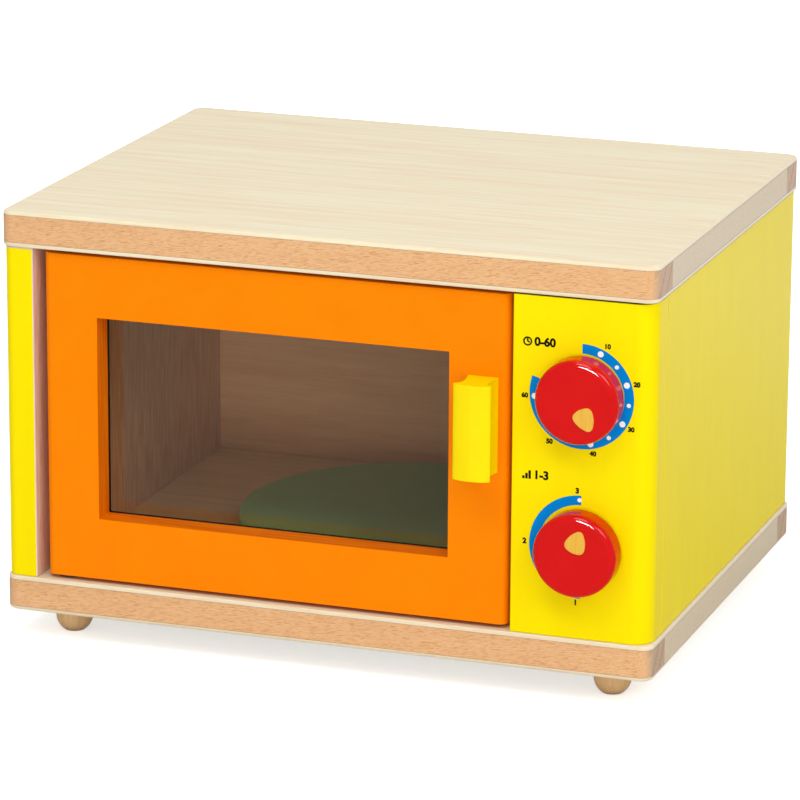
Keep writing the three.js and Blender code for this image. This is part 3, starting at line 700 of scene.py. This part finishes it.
# Screws: zinc-plated pan heads with a cross recess, driven in from behind. One is turned and
# slotted, and the others are copies of it.
screw_head, screw_head_height, screw_shank, screw_length = 0.004, 0.0024, 0.002, 0.024
screw_turns = 32
screw_profile = ((0.0031, 0.0022), (0.0037, 0.0017), (screw_head, 0.001), (screw_head, 0.0),
                 (screw_shank, 0.0), (screw_shank, -0.02), (0.0004, -screw_length))
screw = start_disc("screw_blank", screw_shank, Vector((0, 0, screw_head_height)), screw_turns)
radius, height = screw_shank, screw_head_height
for new_radius, new_height in screw_profile:
    raise_face((0, 0, new_height - height), new_radius / radius)
    radius, height = new_radius, new_height
close_blank(screw)
bpy.ops.object.mode_set(mode="OBJECT")
slot_half, slot_arm, slot_floor, slot_top = 0.00045, 0.0022, 0.0013, 0.004
for arm_x, arm_y in ((slot_arm, slot_half), (slot_half, slot_arm)):
    cutter = start_block("screw_slot", Vector((-arm_x, -arm_y, slot_floor)),
                         Vector((arm_x, arm_y, slot_top)))
    bpy.ops.object.mode_set(mode="OBJECT")
    bpy.ops.object.select_all(action="DESELECT")
    bpy.context.view_layer.objects.active = screw
    bpy.ops.object.modifier_add(type="BOOLEAN")
    screw.modifiers[-1].object = cutter
    bpy.ops.object.modifier_apply(modifier=screw.modifiers[-1].name)
    bpy.data.objects.remove(cutter)
zinc = metal("zinc_plated", tint(200, 200, 204), 0.3)
for body, nodes in frame["record"]["behaviour"]["bodies"].items():
    for node in (name for name in nodes if name.endswith("_screw")):
        low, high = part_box(node)
        size = (high.x - low.x) / 2 / screw_head
        length = high.y - low.y - screw_head_height * size
        copy = screw.copy()
        copy.data = screw.data.copy()
        copy.name = copy.data.name = f"{node}_turned"
        bpy.context.collection.objects.link(copy)
        for corner in copy.data.vertices:
            corner.co.z *= size if corner.co.z > 0 else length / screw_length
            corner.co.xy *= size
        centre = (low + high) / 2
        head = Matrix.Translation((centre.x, high.y, centre.z))
        copy.data.transform(head @ Matrix.Rotation(-math.pi / 2, 4, "X")
                            @ Matrix.Translation((0, 0, -screw_head_height * size)))
        bpy.context.view_layer.objects.active = copy
        copy.select_set(True)
        finish_piece(copy, body, "steel", zinc, node)
bpy.data.objects.remove(screw)


# Printed dials: a blue ring with white dots round each knob, and plain black numbers, all
# screen-printed on the panel in thin ink.
ink_height, dot_height = 0.00006, 0.00009
print_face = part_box("control_panel")[0].y
blue = lacquer("blue_ink", tint(0, 137, 219), tint(0, 131, 213), rough=0.4, shine=0.04)
white = lacquer("white_ink", tint(255, 255, 255), tint(252, 252, 252), rough=0.3)
black = lacquer("black_ink", tint(14, 12, 8), tint(20, 18, 12), rough=0.5, shine=0.1)
ring_steps = 72
dials = {
    "timer": {"centre": (0.1328, 0.15605), "inner": 0.0214, "outer": 0.0262, "turn": (0, 288.5)},
    "power": {"centre": (0.1335, 0.0804), "inner": 0.0213, "outer": 0.0261, "turn": (-180, 0)},
}
dot_start, dot_step, dot_distance = 22.7, 24.27, 0.0237
power_dot_angle, power_dot_distance = -2.2, 0.0238
large_dot, small_dot, dot_turns = 0.0015, 0.00105, 24
number_size, number_distance, power_number_size = 0.0032, 0.0287, 0.0036
timer_numbers = {10: 25.8, 20: 73.0, 30: 119.5, 40: 167.7, 50: 213.6, 60: 266.0}
power_numbers = {3: (0.1314, 0.1087), 2: (0.1050, 0.0808), 1: (0.1313, 0.0521)}


def on_dial(dial, angle, distance):
    """The place on the panel at a clockwise angle from the top of a dial."""
    x, z = dials[dial]["centre"]
    return Vector((x + distance * math.sin(math.radians(angle)), print_face,
                   z + distance * math.cos(math.radians(angle))))


def ink(piece, material, proud=ink_height):
    """Gives the flat print its thickness and fixes it to the box."""
    if piece.mode == "EDIT":
        bpy.ops.object.mode_set(mode="OBJECT")
    bpy.context.view_layer.objects.active = piece
    bpy.ops.object.mode_set(mode="EDIT")
    bpy.ops.mesh.select_all(action="SELECT")
    bpy.ops.mesh.extrude_region_move(TRANSFORM_OT_translate={"value": (0, -proud, 0)})
    close_blank(piece)
    bpy.ops.object.mode_set(mode="OBJECT")
    piece.data.materials.clear()
    piece.data.materials.append(material)
    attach(piece, "box")
    bpy.ops.object.select_all(action="DESELECT")


for dial, ring in dials.items():
    turn_start, turn_end = ring["turn"]
    start, end = (on_dial(dial, turn_start, ring[side]) for side in ("inner", "outer"))
    bpy.ops.mesh.primitive_plane_add(size=1, location=(start + end) / 2)
    arc = bpy.context.object
    arc.name = arc.data.name = f"{dial}_dial_ring"
    bpy.ops.object.transform_apply(location=True, rotation=True, scale=True)
    bpy.ops.object.mode_set(mode="EDIT")
    form = bmesh.from_edit_mesh(arc.data)
    form.verts.ensure_lookup_table()
    bmesh.ops.delete(form, geom=form.verts[2:], context="VERTS")
    form.verts.ensure_lookup_table()
    form.verts[0].co, form.verts[1].co = start, end
    bmesh.update_edit_mesh(arc.data)
    bpy.ops.mesh.select_all(action="SELECT")
    x, z = ring["centre"]
    bpy.ops.mesh.spin(steps=ring_steps, angle=math.radians(turn_end - turn_start),
                      center=(x, print_face, z), axis=(0, -1, 0))
    ink(arc, blue)


def print_dot(name, place, radius):
    """A round white dot on the blue ring."""
    dot = start_disc(name, radius, place, dot_turns, (math.pi / 2, 0, 0))
    ink(dot, white, dot_height)


def print_number(name, text, place, height, bold=0.062, align="CENTER"):
    """A plain bold number, at its place: its rounded outline is pressed flat."""
    bpy.ops.object.text_add(rotation=(math.pi / 2, 0, 0))
    label = bpy.context.object
    label.data.body = text
    label.data.size, label.data.bevel_depth = height, height * bold
    label.data.bevel_resolution = 0
    label.data.align_x, label.data.align_y = align, "CENTER"
    bpy.ops.object.convert(target="MESH")
    label = bpy.context.object
    label.name = label.data.name = name
    bpy.ops.object.transform_apply(location=True, rotation=True, scale=True)
    flat = Matrix.Diagonal((1, ink_height / (2 * height * bold), 1, 1))
    label.data.transform(Matrix.Translation(place - Vector((0, ink_height / 2, 0))) @ flat)
    label.data.materials.append(black)
    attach(label, "box")
    bpy.ops.object.select_all(action="DESELECT")


for step in range(11):
    angle = dot_start + dot_step * step
    print_dot(f"timer_dial_dot_{step + 1}", on_dial("timer", angle, dot_distance),
              small_dot if step % 2 else large_dot)
for minutes, angle in timer_numbers.items():
    print_number(f"timer_number_{minutes}", str(minutes),
                 on_dial("timer", angle, number_distance), number_size)
print_dot("power_dial_dot", on_dial("power", power_dot_angle, power_dot_distance), small_dot)
for level, (x, z) in power_numbers.items():
    print_number(f"power_number_{level}", str(level), Vector((x, print_face, z)),
                 power_number_size)


# Captions: a plain clock face with the range of minutes above the upper dial, and three
# rising bars with the range of levels above the lower one, printed in black.
clock_x, clock_z, clock_radius, clock_turns, line = 0.1053, 0.1811, 0.0023, 48, 0.0008
hands = ((0.0014, 0), (0.0011, 110))
bars_left, bars_bottom, bar_step, bar_width, bar_height = 0.1034, 0.1124, 0.0016, 0.0012, 0.0014
caption_size, caption_bold = 0.0058, 0.045
timer_caption_place = Vector((0.1088, print_face, 0.1811))
power_caption_place = Vector((0.1092, print_face, 0.1145))


def print_bar(name, left, right, bottom, top, lean=0.0):
    """A plain black bar, turned clockwise about its lower end."""
    middle = Vector(((left + right) / 2, print_face, (bottom + top) / 2))
    bpy.ops.mesh.primitive_plane_add(size=1, location=middle, rotation=(math.pi / 2, 0, 0))
    bar = bpy.context.object
    bar.name = bar.data.name = name
    bar.scale = (right - left, top - bottom, 1)
    bpy.ops.object.transform_apply(location=True, rotation=True, scale=True)
    foot = Vector((middle.x, print_face, bottom))
    bar.data.transform(Matrix.Translation(foot) @ Matrix.Rotation(lean, 4, "Y")
                       @ Matrix.Translation(-foot))
    ink(bar, black)


clock = start_disc("timer_caption_clock", clock_radius, (clock_x, print_face, clock_z),
                   clock_turns, (math.pi / 2, 0, 0))
bpy.ops.mesh.inset(thickness=line)
bpy.ops.mesh.delete(type="FACE")
ink(clock, black)
for count, (length, lean) in enumerate(hands, 1):
    print_bar(f"timer_caption_hand_{count}", clock_x - line / 2, clock_x + line / 2,
              clock_z, clock_z + length, math.radians(lean))
print_number("timer_caption_range", "0-60", timer_caption_place,
             caption_size, caption_bold, "LEFT")
for step in range(3):
    left = bars_left + bar_step * step
    print_bar(f"power_caption_bar_{step + 1}", left, left + bar_width,
              bars_bottom, bars_bottom + bar_height * (step + 1))
print_number("power_caption_range", "1-3", power_caption_place,
             caption_size, caption_bold, "LEFT")


# Studio: a pale floor, soft lamps above, in front, at the right and low in front, a small one
# in front for the glints on the knobs and the handle alone, and a camera with a long lens,
# looking down from the right.
bpy.ops.mesh.primitive_plane_add(size=12)
floor = bpy.context.object
floor.name = "studio_floor"
full_white, floor_white = (1.0, 1.0, 1.0, 1.0), (0.88, 0.88, 0.88, 1.0)
shadow_reach, white_reach, shadow_white = 0.2, 1.0, 0.6
dark_studio, dark_reach, bright_reach, bright_floor = 0.36, 0.1, 0.7, 0.9
dark_wall, bright_wall, level_light, overhead_light = 0.3, 0.75, 0.25, 0.7


def background_rays(tree):
    """The rays of the camera, of gloss and of clear stuff, which show the white background."""
    rays = add_node(tree, "LightPath").outputs
    seen = calculate(tree, "MAXIMUM", rays["Is Camera Ray"], rays["Is Glossy Ray"])
    return calculate(tree, "MAXIMUM", seen, rays["Is Transmission Ray"]), rays["Is Glossy Ray"]


material, tree, shader, coords = new_finish("studio_floor")
shader.inputs["Base Color"].default_value = floor_white
shader.inputs["Roughness"].default_value = 0.9
shader.inputs["Specular IOR Level"].default_value = 0.0
seen, mirrored = background_rays(tree)
place = coords.outputs["Object"]
away = add_node(tree, "VectorMath", {0: place}, operation="LENGTH").outputs["Value"]
shade = between(tree, away, shadow_reach, white_reach, shadow_white, 1.0)
shade = calculate(tree, "MULTIPLY", seen, shade)
glow = add_node(tree, "Emission", {"Color": full_white, "Strength": shade})
both = add_node(tree, "AddShader", {0: shader.outputs[0], 1: glow.outputs[0]})
depth = add_node(tree, "SeparateXYZ", {0: place}).outputs[inward]
dim = add_node(tree, "Emission", {
    "Color": full_white,
    "Strength": between(tree, depth, dark_reach, bright_reach, dark_studio, bright_floor)})
shown = add_node(tree, "MixShader", {0: mirrored, 1: both.outputs[0], 2: dim.outputs[0]})
tree.links.new(shown.outputs[0], tree.nodes["Material Output"].inputs["Surface"])
floor.data.materials.append(material)

world = bpy.data.worlds.new("studio")
bpy.context.scene.world = world
world.use_nodes = True
tree = world.node_tree
seen = background_rays(tree)[0]
backdrop = tree.nodes["Background"]
backdrop.inputs["Color"].default_value = full_white
direction = add_node(tree, "SeparateXYZ", {0: add_node(tree, "TexCoord").outputs["Generated"]})
behind = between(tree, direction.outputs[inward], dark_wall, bright_wall, dark_studio, 1.0)
overhead = between(tree, direction.outputs[upright], 0.0, 1.0, level_light, overhead_light)
tree.links.new(add_node(tree, "Mix", {0: seen, 2: overhead, 3: behind}).outputs[0],
               backdrop.inputs["Strength"])


def lamp(name, place, aim, width, height, power):
    """A soft lamp, aimed at a point."""
    bpy.ops.object.light_add(type="AREA", location=place)
    made = bpy.context.object
    made.name = name
    made.data.shape, made.data.size, made.data.size_y = "RECTANGLE", width, height
    made.data.energy = power
    made.rotation_euler = (Vector(aim) - Vector(place)).to_track_quat("-Z", "Y").to_euler()
    return made


lamp("top_lamp", (0.1, 0.1, 2.2), (0.0, 0.0, 0.1), 1.2, 1.2, 5)
lamp("key_lamp", (0.0, -1.35, 2.1), (0.0, -0.1, 0.12), 1.0, 0.8, 13.5)
lamp("side_lamp", (1.55, -1.35, 1.5), (0.0, -0.05, 0.12), 1.2, 1.0, 14)
low_lamp = lamp("low_lamp", (0.7, -2.35, 0.25), (0.0, -0.1, 0.13), 1.4, 0.3, 9.5)
low_lamp.visible_glossy = False
glint_lamp = lamp("glint_lamp", (-0.03, -2.33, 0.78), (0.13, -0.13, 0.12), 0.7, 0.45, 78)
glint_lamp.visible_diffuse = False
glossy_pieces = bpy.data.collections.new("glossy_pieces")
for piece in (handle, *knob_pieces.values()):
    glossy_pieces.objects.link(piece)
glint_lamp.light_linking.receiver_collection = glossy_pieces

camera_place = (0.763063, -2.200575, 0.757281)
camera_turn, camera_drop, camera_roll = (
    math.radians(degrees) for degrees in (19.17277, 15.54339, -0.33670))
camera_lens, sensor_width = 211.36, 36.0
ahead = Vector((-math.sin(camera_turn) * math.cos(camera_drop),
                math.cos(camera_turn) * math.cos(camera_drop), -math.sin(camera_drop)))
right = Vector((math.cos(camera_turn), math.sin(camera_turn), 0))
down = ahead.cross(right)
rolled_right = math.cos(camera_roll) * right + math.sin(camera_roll) * down
rolled_down = math.cos(camera_roll) * down - math.sin(camera_roll) * right
camera_data = bpy.data.cameras.new("photo_camera")
camera_data.lens, camera_data.sensor_width = camera_lens, sensor_width
camera_data.clip_start, camera_data.clip_end = 0.01, 50
camera = bpy.data.objects.new("photo_camera", camera_data)
bpy.context.collection.objects.link(camera)
camera.matrix_world = Matrix.Translation(camera_place) @ Matrix(
    (rolled_right, -rolled_down, -ahead)).transposed().to_4x4()
bpy.context.scene.camera = camera
bpy.context.scene.view_settings.view_transform = "Standard"
